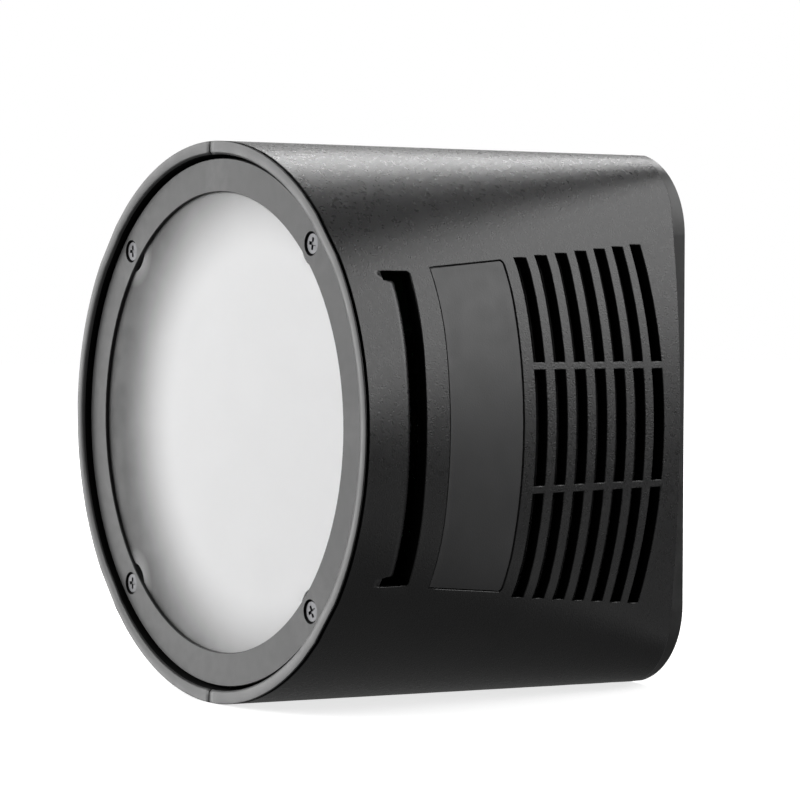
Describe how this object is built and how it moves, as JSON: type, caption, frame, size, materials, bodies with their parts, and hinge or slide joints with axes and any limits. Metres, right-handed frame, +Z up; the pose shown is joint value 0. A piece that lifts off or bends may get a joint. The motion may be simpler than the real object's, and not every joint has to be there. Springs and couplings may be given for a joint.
{
  "type": "studio flash head",
  "caption": "Compact studio flash head: round frosted-glass front with a steel ring, vented clamshell body tapering to a rectangular rear seat with contacts.",
  "frame": {"origin": "centre of the flat rear seat, which meets the mating power body", "axes": "+Z up when the head lies on a table; light leaves along -Y; +X is the side with the label recess; the two shells meet on X = 0"},
  "size_m": [0.076, 0.0685, 0.076],
  "materials": {
    "shell_plastic": "fine spark grain, satin",
    "label_film": "smooth satin film, blank",
    "ring_steel": "satin grey coating",
    "screw_steel": "machined",
    "frosted_glass": "frosted",
    "gasket_rubber": "matte",
    "inner_plastic": "matte",
    "reflector_aluminium": "bright anodised",
    "tube_glass": "clear quartz",
    "clip_silicone": "matte",
    "wire_nickel": "drawn wire",
    "lead_insulation": "satin",
    "white_board": "white solder mask",
    "led_phosphor": "phosphor resin",
    "sink_aluminium": "extruded",
    "post_brass": "turned",
    "green_board": "green solder mask",
    "capacitor_sleeve": "shrink sleeve",
    "baffle_film": "matte insulating film",
    "frame_plastic": "smooth satin",
    "hook_steel": "stamped",
    "contact_gold": "gold plated",
    "spring_steel": "drawn wire"
  },
  "bodies": {
    "head": {"shell_right": "shell_plastic", "shell_left": "shell_plastic", "label_plate": "label_film", "front_ring": "ring_steel", "ring_screws": "screw_steel", "diffuser_glass": "frosted_glass", "glass_gasket": "gasket_rubber", "front_carrier": "inner_plastic", "reflector": "reflector_aluminium", "flash_tube": "tube_glass", "tube_caps": "screw_steel", "tube_clips": "clip_silicone", "trigger_wire": "wire_nickel", "tube_leads": "lead_insulation", "lamp_board": "white_board", "lamp_leds": "led_phosphor", "lamp_screws": "screw_steel", "heat_sink": "sink_aluminium", "sink_posts": "post_brass", "driver_board": "green_board", "trigger_transformer": "inner_plastic", "trigger_capacitor": "capacitor_sleeve", "thermal_sensor": "inner_plastic", "power_leads": "lead_insulation", "baffle_right": "baffle_film", "baffle_left": "baffle_film", "rear_frame": "frame_plastic", "rear_screws": "screw_steel", "latch_hooks": "hook_steel", "contact_block": "inner_plastic", "contact_board": "green_board", "power_pins": "contact_gold", "signal_spring_1": "spring_steel", "signal_spring_2": "spring_steel", "signal_spring_3": "spring_steel", "signal_spring_4": "spring_steel"},
    "signal_contact_1": {"signal_pin_1": "contact_gold"},
    "signal_contact_2": {"signal_pin_2": "contact_gold"},
    "signal_contact_3": {"signal_pin_3": "contact_gold"},
    "signal_contact_4": {"signal_pin_4": "contact_gold"}
  },
  "joints": [
    {"name": "signal_contact_1_press", "type": "slide", "parent": "head", "child": "signal_contact_1", "axis": [0, -1, 0], "range_m": [0, 0.0012], "stiffness_N_per_m": 300, "springref_m": -0.0015, "deforming": ["signal_spring_1"]},
    {"name": "signal_contact_2_press", "type": "slide", "parent": "head", "child": "signal_contact_2", "axis": [0, -1, 0], "range_m": [0, 0.0012], "stiffness_N_per_m": 300, "springref_m": -0.0015, "deforming": ["signal_spring_2"]},
    {"name": "signal_contact_3_press", "type": "slide", "parent": "head", "child": "signal_contact_3", "axis": [0, -1, 0], "range_m": [0, 0.0012], "stiffness_N_per_m": 300, "springref_m": -0.0015, "deforming": ["signal_spring_3"]},
    {"name": "signal_contact_4_press", "type": "slide", "parent": "head", "child": "signal_contact_4", "axis": [0, -1, 0], "range_m": [0, 0.0012], "stiffness_N_per_m": 300, "springref_m": -0.0015, "deforming": ["signal_spring_4"]}
  ]
}
